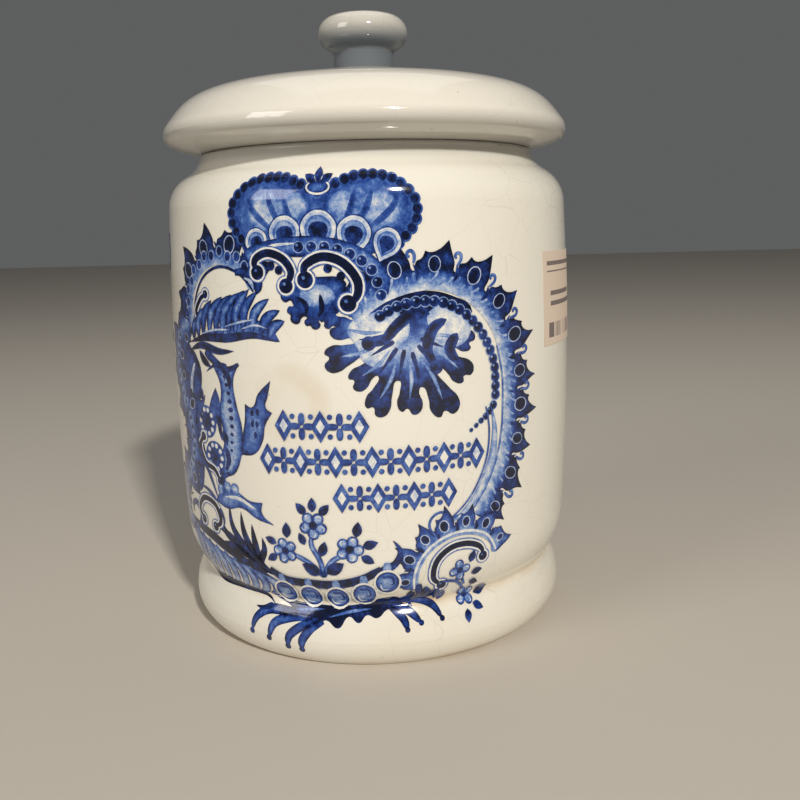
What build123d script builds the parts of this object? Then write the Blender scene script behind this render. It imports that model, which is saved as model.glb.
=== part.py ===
from build123d import *
import math
import os

# Lidded apothecary jar in glazed earthenware. +Z is up, and the origin is the
# centre of the ring that the foot stands on. The painted front faces -Y.
# Lengths are in millimetres. Every profile point is (radius, height).

# Jar
jar_height = 188.5  # foot to mouth rim
belly_radius = 82.1
belly_height = 100.0
belly_curve = 1170.0  # the wall bulges by one large arc, widest at belly_height
wall_bottom_height = 42.5
wall_top_height = 168.0
wall = 6.0
foot_contact_radius = 73.0
foot_radius = 79.0
foot_bulge_height = 11.0
foot_ring_width = 9.0
foot_recess = 4.0
floor_thickness = 6.0
floor_round = 8.0
waist_radius = 74.4
waist_height = 24.6
waist_lip_out = 0.5  # the groove's two lips, measured from its bottom
waist_lip_up = 1.3
shoulder_radius = 72.4
shoulder_height = 180.2
neck_radius = 67.0
mouth_radius = 61.0
rim_round = 1.8

# Lid
lid_radius = 80.5
lid_edge_height = 195.3
lid_top_height = 220.3
lid_wall = 6.0
lid_seat_radius = 66.6
flange_radius = 59.4
flange_wall = 5.0
flange_depth = 9.0
flange_bevel = 1.0

# Knob
knob_radius = 17.9
knob_widest_height = 234.8
knob_top_height = 242.3
knob_stem_radius = 12.0
knob_pad_margin = 0.5  # flat on the lid round the stem

# Price label, stuck on the right of the belly
label_width = 57.0
label_height = 35.0
label_centre_height = 131.5
label_left_angle = 51.5  # degrees from the front, towards +X
label_thickness = 0.15
label_glue = 0.02


def wall_radius(height):
    """Outside radius of the jar's wall at a height between its two ends."""
    return belly_radius - belly_curve + math.sqrt(belly_curve**2 - (height - belly_height) ** 2)


def crown_arc(radius, low, high):
    """A round cap, from its edge up to the axis, with its centre on the axis."""
    rise = high - low
    sphere = (radius**2 + rise**2) / (2 * rise)
    half_way = high - sphere + math.sqrt(sphere**2 - radius**2 / 4)
    return (radius, low), (radius / 2, half_way), (0, high)


wall_bottom_radius = wall_radius(wall_bottom_height)
wall_top_radius = wall_radius(wall_top_height)
recess_radius = foot_contact_radius - foot_ring_width
inside_floor = foot_recess + floor_thickness
inside_waist_radius = waist_radius - wall - 1.3
flange_inside = flange_radius - flange_wall
flange_bottom = jar_height - flange_depth

with BuildPart() as jar_body:
    with BuildSketch(Plane.XZ):
        with BuildLine():
            # Underside: a shallow recess inside the standing ring
            Line((0, foot_recess), (recess_radius - 2, foot_recess))
            Line((recess_radius - 2, foot_recess), (recess_radius, 0))
            Line((recess_radius, 0), (foot_contact_radius, 0))
            # Foot: a full round, from its widest point down and up
            foot_widest = (foot_radius, foot_bulge_height)
            lower_lip = (waist_radius + waist_lip_out, waist_height - waist_lip_up)
            upper_lip = (waist_radius + waist_lip_out, waist_height + waist_lip_up)
            TangentArc(foot_widest, (foot_contact_radius, 0), tangent=(0, -1))
            TangentArc(foot_widest, lower_lip, tangent=(0, 1))
            ThreePointArc(lower_lip, (waist_radius, waist_height), upper_lip)
            # Belly: one large arc, rounded in to the waist below it
            belly = ThreePointArc(
                (wall_bottom_radius, wall_bottom_height),
                (belly_radius, belly_height),
                (wall_top_radius, wall_top_height),
            )
            TangentArc(belly @ 0, upper_lip, tangent=-(belly % 0))
            # Shoulder: an ogee up to the short neck
            shoulder = TangentArc(
                belly @ 1, (shoulder_radius, shoulder_height), tangent=belly % 1
            )
            neck = TangentArc(
                shoulder @ 1, (neck_radius, jar_height - rim_round), tangent=shoulder % 1
            )
            # Mouth rim: rounded on both sides of a flat seat for the lid
            RadiusArc(neck @ 1, (neck_radius - rim_round, jar_height), -rim_round)
            Line((neck_radius - rim_round, jar_height), (mouth_radius + rim_round, jar_height))
            RadiusArc(
                (mouth_radius + rim_round, jar_height),
                (mouth_radius, jar_height - rim_round),
                -rim_round,
            )
            # Inside, about one wall thickness in from the outside
            Line((mouth_radius, jar_height - rim_round), (mouth_radius, shoulder_height))
            ThreePointArc(
                (mouth_radius, shoulder_height),
                (mouth_radius + 2.2, shoulder_height - 3.2),
                (shoulder_radius - 5.0, shoulder_height - 6.0),
            )
            ThreePointArc(
                (shoulder_radius - 5.0, shoulder_height - 6.0),
                (shoulder_radius - 0.6, wall_top_height + 1.8),
                (wall_top_radius - wall, wall_top_height - 3.0),
            )
            ThreePointArc(
                (wall_top_radius - wall, wall_top_height - 3.0),
                (belly_radius - wall, belly_height),
                (wall_bottom_radius - wall, wall_bottom_height + 2.0),
            )
            ThreePointArc(
                (wall_bottom_radius - wall, wall_bottom_height + 2.0),
                (wall_bottom_radius - wall - 2.2, wall_bottom_height - 8.0),
                (inside_waist_radius, waist_height + 1.0),
            )
            Line(
                (inside_waist_radius, waist_height + 1.0),
                (inside_waist_radius, inside_floor + floor_round),
            )
            RadiusArc(
                (inside_waist_radius, inside_floor + floor_round),
                (inside_waist_radius - floor_round, inside_floor),
                floor_round,
            )
            Line((inside_waist_radius - floor_round, inside_floor), (0, inside_floor))
            Line((0, inside_floor), (0, foot_recess))
        make_face()
    revolve(axis=Axis.Z)

with BuildPart() as lid:
    with BuildSketch(Plane.XZ):
        with BuildLine():
            # Outside: a flat pad for the knob, the dome and its rounded edge
            pad_radius = knob_stem_radius + knob_pad_margin
            Line((0, lid_top_height), (pad_radius, lid_top_height))
            Spline(
                (pad_radius, lid_top_height),
                (47.0, lid_top_height - 5.7),
                (72.6, lid_edge_height + 11.4),
                (78.9, lid_edge_height + 4.2),
                (lid_radius, lid_edge_height),
                tangents=[(1, -0.06), (0, -1)],
            )
            # Underside: rounded in from the edge to the seat
            lower_edge = TangentArc(
                (lid_radius, lid_edge_height),
                (lid_radius - 1.9, lid_edge_height - 3.1),
                tangent=(0, -1),
            )
            TangentArc(lower_edge @ 1, (lid_seat_radius, jar_height), tangent=lower_edge % 1)
            Line((lid_seat_radius, jar_height), (flange_radius, jar_height))
            # Locating flange, which drops into the mouth
            Polyline(
                (flange_radius, jar_height),
                (flange_radius, flange_bottom + flange_bevel),
                (flange_radius - flange_bevel, flange_bottom),
                (flange_inside + flange_bevel, flange_bottom),
                (flange_inside, flange_bottom + flange_bevel),
                (flange_inside, jar_height + 8.0),
            )
            # Hollow under the dome
            ThreePointArc(
                (flange_inside, jar_height + 8.0),
                (flange_inside - 4.4, jar_height + 15.0),
                (flange_inside - 11.0, lid_top_height - 12.0),
            )
            ThreePointArc(
                *crown_arc(flange_inside - 11.0, lid_top_height - 12.0, lid_top_height - lid_wall)
            )
            Line((0, lid_top_height - lid_wall), (0, lid_top_height))
        make_face()
    revolve(axis=Axis.Z)

with BuildPart() as lid_knob:
    with BuildSketch(Plane.XZ):
        with BuildLine():
            Line((0, lid_top_height), (knob_stem_radius, lid_top_height))
            stem_top = (knob_stem_radius + 0.1, lid_top_height + 5.8)
            Line((knob_stem_radius, lid_top_height), stem_top)
            # Bulb: round from its widest point down to a cove and up to a low crown
            knob_widest = (knob_radius, knob_widest_height)
            crown_radius = knob_radius - 5.4
            under_bulb = TangentArc(
                knob_widest, (knob_radius - 3.6, knob_widest_height - 5.4), tangent=(0, -1)
            )
            TangentArc(under_bulb @ 1, stem_top, tangent=under_bulb % 1)
            TangentArc(knob_widest, (crown_radius, knob_top_height - 1.0), tangent=(0, 1))
            ThreePointArc(*crown_arc(crown_radius, knob_top_height - 1.0, knob_top_height))
            Line((0, knob_top_height), (0, lid_top_height))
        make_face()
    revolve(axis=Axis.Z)

# The label bends round the belly: a thin strip of the wall's arc, turned about
# the jar's axis through the angle that its width spans.
label_low = label_centre_height - label_height / 2
label_high = label_centre_height + label_height / 2
label_plane = Plane.XZ.rotated((0, 0, label_left_angle - 90))


def label_arc(gap):
    """The arc that a face of the label follows, gap outside the wall."""
    heights = (label_low, label_centre_height, label_high)
    return [(wall_radius(height) + gap, height) for height in heights]


with BuildPart() as price_label:
    with BuildSketch(label_plane):
        with BuildLine():
            inner = label_arc(label_glue)
            outer = label_arc(label_glue + label_thickness)
            ThreePointArc(*inner)
            Line(inner[-1], outer[-1])
            ThreePointArc(*reversed(outer))
            Line(outer[0], inner[0])
        make_face()
    revolve(axis=Axis.Z, revolution_arc=math.degrees(label_width / belly_radius))

os.makedirs("parts", exist_ok=True)

jar_body.part.label = "jar_body"
export_step(jar_body.part, "parts/jar_body.step")
lid.part.label = "lid"
export_step(lid.part, "parts/lid.step")
lid_knob.part.label = "lid_knob"
export_step(lid_knob.part, "parts/lid_knob.step")
price_label.part.label = "price_label"
export_step(price_label.part, "parts/price_label.step")
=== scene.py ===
import bisect
import math

import bmesh
import bpy
from mathutils import Matrix, Vector, geometry, kdtree


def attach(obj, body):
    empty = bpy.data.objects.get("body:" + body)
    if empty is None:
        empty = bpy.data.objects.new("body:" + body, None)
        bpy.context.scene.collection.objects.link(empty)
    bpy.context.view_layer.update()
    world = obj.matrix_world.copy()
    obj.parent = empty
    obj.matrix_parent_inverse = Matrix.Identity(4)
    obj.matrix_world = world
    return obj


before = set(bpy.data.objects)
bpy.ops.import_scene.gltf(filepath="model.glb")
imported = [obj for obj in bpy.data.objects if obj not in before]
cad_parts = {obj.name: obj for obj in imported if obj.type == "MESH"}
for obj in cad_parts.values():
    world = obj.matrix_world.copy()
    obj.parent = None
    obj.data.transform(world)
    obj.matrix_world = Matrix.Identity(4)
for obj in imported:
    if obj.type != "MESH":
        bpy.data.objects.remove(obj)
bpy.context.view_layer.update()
print("frame loaded:", ", ".join(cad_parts))

mm = 0.001


def rgb(red, green, blue):  # a screen colour, 0 to 255, as the shader's linear colour
    parts = [part / 255 for part in (red, green, blue)]
    return tuple(((p + 0.055) / 1.055) ** 2.4 if p > 0.04 else p / 12.92 for p in parts) + (1,)


viewPoint = {
    "place": (0.0, -379.0, 159.7),  # mm from the foot's centre
    "tiltDown": 11.1,
    "turn": 1.74,  # to the right
    "roll": 1.35,
    "lens": 40.1,
    "sensor": 36.0,
}

studio = {
    "floor": rgb(206, 198, 186),
    "floorRoughness": 0.75,
    "floorSize": 4.0,  # metres from the middle to an edge
    "air": (0.80, 0.81, 0.82, 1),
    "airStrength": 0.14,
}

lights = [  # name, watts, side, place, aimed at, colour
    ("key", 38.5, 0.15, (0.55, -1.80, 1.43), (0, 0, 0.08), (1.0, 0.955, 0.885)),
    ("fill", 7.0, 0.7, (-1.35, -0.95, 0.95), (0, 0, 0.08), (1.0, 0.97, 0.93)),
    ("top", 1.2, 0.9, (0.0, 0.35, 1.2), (0, 0, 0.15), (1.0, 1.0, 1.0)),
]


def makeCamera():
    data = bpy.data.cameras.new("camera")
    data.lens = viewPoint["lens"]
    data.sensor_width = viewPoint["sensor"]
    data.clip_start = 0.01
    camera = bpy.data.objects.new("camera", data)
    bpy.context.collection.objects.link(camera)
    turn = Matrix.Rotation(math.radians(-viewPoint["turn"]), 4, "Z")
    tilt = Matrix.Rotation(math.radians(90 - viewPoint["tiltDown"]), 4, "X")
    roll = Matrix.Rotation(math.radians(-viewPoint["roll"]), 4, "Z")
    place = Matrix.Translation(Vector(viewPoint["place"]) * mm)
    camera.matrix_world = place @ turn @ tilt @ roll
    bpy.context.scene.camera = camera


def makeFloor():
    shape = bmesh.new()
    bmesh.ops.create_grid(shape, x_segments=1, y_segments=1, size=studio["floorSize"])
    mesh = bpy.data.meshes.new("floor")
    shape.to_mesh(mesh)
    shape.free()
    floor = bpy.data.objects.new("floor", mesh)
    bpy.context.collection.objects.link(floor)
    finish = bpy.data.materials.new("floorPaint")
    finish.use_nodes = True
    shader = finish.node_tree.nodes["Principled BSDF"]
    shader.inputs["Base Color"].default_value = studio["floor"]
    shader.inputs["Roughness"].default_value = studio["floorRoughness"]
    mesh.materials.append(finish)


def makeLights():
    for name, power, side, place, target, colour in lights:
        data = bpy.data.lights.new(name, "AREA")
        data.size = side
        data.energy = power
        data.color = colour
        lamp = bpy.data.objects.new(name, data)
        bpy.context.collection.objects.link(lamp)
        lamp.location = place
        lamp.rotation_euler = (Vector(target) - Vector(place)).to_track_quat("-Z", "Y").to_euler()
    world = bpy.data.worlds.new("studio")
    world.use_nodes = True
    world.node_tree.nodes["Background"].inputs["Color"].default_value = studio["air"]
    world.node_tree.nodes["Background"].inputs["Strength"].default_value = studio["airStrength"]
    bpy.context.scene.world = world


makeCamera()
makeFloor()
makeLights()
bpy.context.scene.view_settings.view_transform = "Standard"
print("camera, floor and lights in place")


jarShape = {  # the outside, as (radius, height) in mm, joined by tangent arcs as on the solid
    "footContact": (73.0, 0.0),
    "footWidest": (79.0, 11.0),
    "lowerLip": (74.9, 23.3),
    "waist": (74.4, 24.6),
    "upperLip": (74.9, 25.9),
    "wallBottom": 42.5,
    "bellyWidest": (82.1, 100.0),
    "bellyCurve": 1170.0,
    "wallTop": 168.0,
    "shoulder": (72.4, 180.2),
    "neck": (67.0, 186.7),
}


def tangentArc(start, end, heading):  # returns the arc's centre, and its heading at the end
    chord = end - start
    across = Vector((heading.y, -heading.x))
    centre = start + across * chord.length_squared / (2 * chord.dot(across))
    chord.normalize()
    return centre, 2 * heading.dot(chord) * chord - heading


def outsideSpans():  # low height, high height, arc centre, arc radius, +1 where the wall bulges out
    at = {name: Vector(value) for name, value in jarShape.items() if isinstance(value, tuple)}
    bellyCentre = at["bellyWidest"] - Vector((jarShape["bellyCurve"], 0))

    def wallEnd(height):
        rise = height - bellyCentre.y
        out = Vector((math.sqrt(jarShape["bellyCurve"] ** 2 - rise**2), rise))
        return bellyCentre + out, Vector((-out.y, out.x)).normalized()

    bottom, bottomHeading = wallEnd(jarShape["wallBottom"])
    top, topHeading = wallEnd(jarShape["wallTop"])
    footDown = tangentArc(at["footWidest"], at["footContact"], Vector((0, -1)))[0]
    footUp = tangentArc(at["footWidest"], at["lowerLip"], Vector((0, 1)))[0]
    under = tangentArc(bottom, at["upperLip"], -bottomHeading)[0]
    shoulder, leaving = tangentArc(top, at["shoulder"], topHeading)
    neck = tangentArc(at["shoulder"], at["neck"], leaving)[0]
    half = at["waist"] - at["lowerLip"]
    grooveRadius = half.length_squared / (2 * -half.x)
    groove = at["waist"] + Vector((grooveRadius, 0))
    spans = [
        (at["footContact"], at["footWidest"], footDown, 1),
        (at["footWidest"], at["lowerLip"], footUp, 1),
        (at["lowerLip"], at["upperLip"], groove, -1),
        (at["upperLip"], bottom, under, 1),
        (bottom, top, bellyCentre, 1),
        (top, at["shoulder"], shoulder, 1),
        (at["shoulder"], at["neck"], neck, -1),
    ]
    return [(low.y, high.y, c, (low - c).length, side) for low, high, c, side in spans]


spans = outsideSpans()


def wallPoint(height):  # radius, and the outward normal's two parts
    for low, high, centre, radius, side in spans:
        if height <= high:
            break
    rise = height - centre.y
    out = math.sqrt(max(radius**2 - rise**2, 0.0))
    return centre.x + side * out, out / radius, side * rise / radius


# A painted shape is drawn flat, in mm round the wall from the front and mm above the foot,
# cut along a grid, and wrapped on the wall as a skin over the glaze
painting = {
    "unrollRadius": 82.0,
    "columnStep": 2.0,
    "rowSteps": ((4, 0.45), (60, 0.9), (math.inf, 3.0)),  # up to an arc's radius, rows this close
    "lift": 0.06,  # above the glaze, for the first shape
    "coat": 0.0015,  # each later shape lies this much higher
    "parts": [],  # the shapes laid on so far for the present piece
    "mergeGap": 0.004,
    "cutGap": 0.002,
}


def heightLines():
    lines = []
    for low, high, centre, radius, side in spans:
        step = next(step for limit, step in painting["rowSteps"] if radius < limit)
        count = math.ceil((high - low) / step)
        lines += [low + (high - low) * i / count for i in range(count)]
    return lines + [spans[-1][1]]


gridHeights = heightLines()
gridRings = [wallPoint(height) for height in gridHeights]


def wrapped(u, z, lift):  # a point of the flat drawing on the gridded wall, in metres
    column = math.floor(u / painting["columnStep"])
    row = min(max(bisect.bisect_right(gridHeights, z) - 1, 0), len(gridHeights) - 2)
    across = u / painting["columnStep"] - column
    up = (z - gridHeights[row]) / (gridHeights[row + 1] - gridHeights[row])
    place = Vector((0, 0, 0))
    for i, j, share in (
        (0, 0, (1 - across) * (1 - up)),
        (1, 0, across * (1 - up)),
        (0, 1, (1 - across) * up),
        (1, 1, across * up),
    ):
        angle = (column + i) * painting["columnStep"] / painting["unrollRadius"]
        radius, normalOut, normalUp = gridRings[row + j]
        radius += normalOut * lift
        height = gridHeights[row + j] + normalUp * lift
        place += share * Vector((radius * math.sin(angle), -radius * math.cos(angle), height))
    return place * mm


def along(points, count):  # evenly spaced places and headings on a smooth route
    route = [Vector(point[:2]) for point in points]
    fine = []
    for i in range(len(route) - 1):
        a, b = route[i], route[i + 1]
        before, after = route[max(i - 1, 0)], route[min(i + 2, len(route) - 1)]
        fine += geometry.interpolate_bezier(a, a + (b - before) / 6, b - (after - a) / 6, b, 13)[:-1]
    fine.append(route[-1])
    reach = [0.0]
    for a, b in zip(fine, fine[1:]):
        reach.append(reach[-1] + (b - a).length)
    spots = []
    for i in range(count):
        want = reach[-1] * i / (count - 1)
        k = min(bisect.bisect_right(reach, want), len(fine) - 1) - 1
        part = (want - reach[k]) / (reach[k + 1] - reach[k])
        spots.append((fine[k].lerp(fine[k + 1], part), (fine[k + 1] - fine[k]).normalized()))
    return spots


def leftOf(way):
    return Vector((-way.y, way.x))


def turnOf(way):
    return math.degrees(math.atan2(way.y, way.x))


def outFrom(centre, turn, reach):  # turn in radians from the right
    return centre[0] + math.cos(turn) * reach, centre[1] + math.sin(turn) * reach


def treeOf(places):
    tree = kdtree.KDTree(len(places))
    for i, place in enumerate(places):
        tree.insert(place, i)
    tree.balance()
    return tree


def cutToGrid(flat):
    places = [v.co for v in flat.verts]
    lowU, highU = min(p.x for p in places), max(p.x for p in places)
    lowZ, highZ = min(p.y for p in places), max(p.y for p in places)
    step = painting["columnStep"]
    columns = range(math.ceil(lowU / step), math.ceil(highU / step))
    cuts = [((i * step, 0, 0), (1, 0, 0)) for i in columns]
    cuts += [((0, h, 0), (0, 1, 0)) for h in gridHeights if lowZ < h < highZ]
    for place, normal in cuts:
        bmesh.ops.bisect_plane(
            flat, geom=flat.verts[:] + flat.edges[:] + flat.faces[:], dist=painting["cutGap"],
            plane_co=place, plane_no=normal,
        )
    bmesh.ops.triangulate(flat, faces=[f for f in flat.faces if len(f.verts) > 4])


def layOn(flat, edgeTone, innerTone, soft, fade=None):
    # flat is a bmesh in the drawing's plane. Tone runs from edgeTone at a shape's rim to
    # innerTone inside it, over about soft mm. A fade, which is a route, the tones near it and
    # far from it, and a distance, takes innerTone's place
    bmesh.ops.remove_doubles(flat, verts=flat.verts, dist=painting["mergeGap"])
    cutToGrid(flat)
    rim = treeOf([v.co for v in flat.verts if v.is_boundary])
    guide = treeOf([spot.to_3d() for spot, heading in along(fade[0], 60)]) if fade else None
    tone = flat.verts.layers.float.new("tone")
    for v in flat.verts:
        inside, share = innerTone, 1.0
        if guide:
            share = min(1.0, guide.find(v.co)[2] / fade[3])
            inside = fade[1] + (fade[2] - fade[1]) * share
        v[tone] = inside + (edgeTone - inside) * share * math.exp(-rim.find(v.co)[2] / soft)
    for v in flat.verts:
        v.co = wrapped(v.co.x, v.co.y, painting["lift"])
    painting["lift"] += painting["coat"]
    part = bpy.data.meshes.new("part")
    flat.to_mesh(part)
    flat.free()
    painting["parts"].append(part)


def curveToFlat(data):
    drawn = bpy.data.objects.new("drawn", data)
    bpy.context.collection.objects.link(drawn)
    bpy.context.view_layer.update()
    mesh = bpy.data.meshes.new_from_object(drawn.evaluated_get(bpy.context.evaluated_depsgraph_get()))
    flat = bmesh.new()
    flat.from_mesh(mesh)
    bpy.data.objects.remove(drawn)
    bpy.data.curves.remove(data)
    bpy.data.meshes.remove(mesh)
    return flat


def makeNib():  # a flat three-point nib, 1 mm wide, that the brush strokes are drawn with
    data = bpy.data.curves.new("nib", "CURVE")
    data.dimensions = "2D"
    edge = data.splines.new("POLY")
    edge.points.add(2)
    for point, x in zip(edge.points, (-0.5, 0, 0.5)):
        point.co = (x, 0, 0, 1)
    tip = bpy.data.objects.new("nib", data)
    bpy.context.collection.objects.link(tip)
    return tip


nib = makeNib()

pressure = {  # the stroke's width along its length, as a share of its full width
    "leaf": lambda t: 0.04 + 0.96 * math.sin(math.pi * t) ** 0.75,
    "tail": lambda t: 0.05 + 0.95 * min(1.0, 0.55 + 3 * t) * (1 - t) ** 0.7,
    "comma": lambda t: (0.3 + 0.7 * math.sin(math.pi * (0.1 + 0.62 * t))) * math.sqrt(1.02 - t**8),
    "round": lambda t: math.sqrt(1.03 - (2 * t - 1) ** 6),
    "line": lambda t: 0.6 + 0.4 * math.sin(math.pi * t) ** 0.3,
}


def strokes(routes, width, tones, kind="leaf", soft=0.6, knots=9):
    data = bpy.data.curves.new("strokes", "CURVE")
    data.dimensions = "3D"
    data.twist_mode = "Z_UP"
    data.bevel_mode = "OBJECT"
    data.bevel_object = nib
    data.resolution_u = 3
    for route in routes:
        spline = data.splines.new("BEZIER")
        spline.bezier_points.add(knots - 1)
        for i, (point, (spot, heading)) in enumerate(zip(spline.bezier_points, along(route, knots))):
            point.co = spot.to_3d()
            point.radius = width * pressure[kind](i / (knots - 1))
            point.handle_left_type = point.handle_right_type = "AUTO"
    layOn(curveToFlat(data), tones[0], tones[1], soft)


def fills(outlines, tones, soft=1.5, fade=None):
    data = bpy.data.curves.new("fills", "CURVE")
    data.dimensions = "2D"
    data.fill_mode = "BOTH"
    data.resolution_u = 5
    for outline in outlines:
        spline = data.splines.new("BEZIER")
        spline.use_cyclic_u = True
        spline.bezier_points.add(len(outline) - 1)
        for point, knot in zip(spline.bezier_points, outline):
            point.co = (knot[0], knot[1], 0)
            kind = "VECTOR" if len(knot) > 2 else "AUTO"
            point.handle_left_type = point.handle_right_type = kind
    layOn(curveToFlat(data), tones[0], tones[1], soft, fade)


def dots(places, radius, tones, soft=0.8, stretch=1.0):  # places: u, z, size, turn
    flat = bmesh.new()
    for place in places:
        shift = Matrix.Translation((place[0], place[1], 0))
        spin = Matrix.Rotation(math.radians(place[3] if len(place) > 3 else 0), 4, "Z")
        bmesh.ops.create_circle(
            flat, cap_ends=True, cap_tris=True, segments=18,
            radius=radius * (place[2] if len(place) > 2 else 1.0),
            matrix=shift @ spin @ Matrix.Diagonal((1.0, stretch, 1.0, 1.0)),
        )
    layOn(flat, tones[0], tones[1], soft)


def placed(points, at, angle, scale=1.0):  # a drawn shape, turned and moved
    spin = Matrix.Rotation(math.radians(angle), 2)
    put = []
    for point in points:
        flat = spin @ Vector(point[:2]) * scale
        put.append((at[0] + flat.x, at[1] + flat.y) + tuple(point[2:]))
    return put


def finishPainting(name, material):
    whole = bmesh.new()
    for part in painting["parts"]:
        whole.from_mesh(part)
        bpy.data.meshes.remove(part)
    painting["parts"] = []
    mesh = bpy.data.meshes.new(name)
    whole.to_mesh(mesh)
    whole.free()
    normals = []
    for v in mesh.vertices:
        radius, normalOut, normalUp = wallPoint(v.co.z / mm)
        side = Vector((v.co.x, v.co.y, 0)).normalized() * normalOut
        normals.append((side.x, side.y, normalUp))
    mesh.polygons.foreach_set("use_smooth", [True] * len(mesh.polygons))
    mesh.normals_split_custom_set_from_vertices(normals)
    mesh.materials.append(material)
    piece = bpy.data.objects.new(name, mesh)
    bpy.context.collection.objects.link(piece)
    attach(piece, "jar")
    print("painted", name, len(mesh.polygons), "faces")


def addNode(tree, kind, **settings):
    node = tree.nodes.new(kind)
    for name, value in settings.items():
        if name in node.inputs:
            node.inputs[name].default_value = value
        else:
            setattr(node, name, value)
    return node


def noiseNode(tree, coordinates, scale, detail=2.0, roughness=0.5):
    node = addNode(tree, "ShaderNodeTexNoise", Scale=scale, Detail=detail, Roughness=roughness)
    tree.links.new(coordinates, node.inputs["Vector"])
    return node


def rampNode(tree, value, stops):  # a stop is a place, and a colour or a grey from 0 to 1
    node = tree.nodes.new("ShaderNodeValToRGB")
    while len(node.color_ramp.elements) < len(stops):
        node.color_ramp.elements.new(0.5)
    for element, (place, colour) in zip(node.color_ramp.elements, stops):
        element.position = place
        element.color = colour if isinstance(colour, tuple) else (colour, colour, colour, 1)
    tree.links.new(value, node.inputs["Fac"])
    return node.outputs["Color"]


def setOrLink(tree, socket, value):
    if isinstance(value, (int, float, tuple)):
        socket.default_value = value
    else:
        tree.links.new(value, socket)


def mathNode(tree, operation, *values):
    node = addNode(tree, "ShaderNodeMath", operation=operation)
    for socket, value in zip(node.inputs, values):
        setOrLink(tree, socket, value)
    return node.outputs["Value"]


def product(tree, first, *others):
    for other in others:
        first = mathNode(tree, "MULTIPLY", first, other)
    return first


def mixColour(tree, factor, first, second):
    node = addNode(tree, "ShaderNodeMix", data_type="RGBA")
    setOrLink(tree, node.inputs["Factor"], factor)
    setOrLink(tree, node.inputs[6], first)
    setOrLink(tree, node.inputs[7], second)
    return node.outputs[2]


def addBump(tree, shader, height, strength, distance):
    bump = addNode(tree, "ShaderNodeBump", Strength=strength, Distance=distance)
    tree.links.new(height, bump.inputs["Height"])
    tree.links.new(bump.outputs["Normal"], shader.inputs["Normal"])


def newFinish(name):
    material = bpy.data.materials.new(name)
    material.use_nodes = True
    tree = material.node_tree
    coordinates = tree.nodes.new("ShaderNodeTexCoord").outputs["Object"]
    return material, tree, tree.nodes["Principled BSDF"], coordinates


glazeLook = {  # scales are in cells per metre
    "jar": rgb(243, 240, 230),
    "lid": rgb(238, 233, 223),
    "warm": rgb(238, 228, 204),  # drifts over the rest in soft clouds
    "cloudScale": 22.0,
    "cloudShare": 0.45,
    "roughness": 0.05,  # at the cleanest spots
    "smear": 0.09,  # how much rougher at the dullest
    "smearScale": 38.0,
    "coat": 0.35,
    "coatRoughness": 0.03,
    "swellScale": 45.0,  # the fired surface is a little uneven
    "swellStrength": 0.06,
    "swellDepth": 0.002,
    "craze": rgb(120, 105, 88),
    "crazeScale": 75.0,
    "crazeBend": 0.012,
    "crazeWidth": 0.012,
    "crazeShare": 0.17,
    "crazePatches": 14.0,  # where the net shows, and where it fades out
    "stain": rgb(204, 170, 112),  # ageing in the waist groove and at the foot's edge
    "stainShare": 0.75,
    "stainScale": 38.0,
    "stainHeights": [(0, 1), (3, 0.1), (22, 0.1), (24.625, 1), (26.5, 0.35), (35, 0)],  # mm, strength
    "blotTurn": -0.36,  # radians round from the front
    "blotHeight": 99.0,
    "blotShare": 0.5,
    "blotRing": [(0.004, 0.25), (0.010, 1), (0.014, 0)],  # metres from its middle, strength
    "paintedShadeColour": rgb(84, 96, 108),  # painted shade: grey-blue darkening on the neck and the lid's underside below the lid's edge, and round the knob's stem and underside
    # mm and strength of the painted shade: the jar's neck and the lid's rim, then the knob's stem and
    # underside
    "paintedShadeHeights": [
        (181, 0), (185.5, 0.42), (194, 0.34), (198, 0),
        (218, 0), (220.5, 0.86), (231.25, 0.92), (236, 0.42), (242, 0),
    ],
    "heightTop": 250.0,
    "speck": rgb(112, 92, 70),
    "speckScale": 520.0,
    "speckShare": 0.5,
}


def makeGlossy(tree, shader, coordinates):
    smears = noiseNode(tree, coordinates, glazeLook["smearScale"], 4.0, 0.6).outputs["Fac"]
    rough = mathNode(tree, "MULTIPLY_ADD", smears, glazeLook["smear"], glazeLook["roughness"])
    tree.links.new(rough, shader.inputs["Roughness"])
    shader.inputs["IOR"].default_value = 1.5
    shader.inputs["Coat Weight"].default_value = glazeLook["coat"]
    shader.inputs["Coat Roughness"].default_value = glazeLook["coatRoughness"]
    swell = noiseNode(tree, coordinates, glazeLook["swellScale"]).outputs["Fac"]
    addBump(tree, shader, swell, glazeLook["swellStrength"], glazeLook["swellDepth"])


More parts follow.
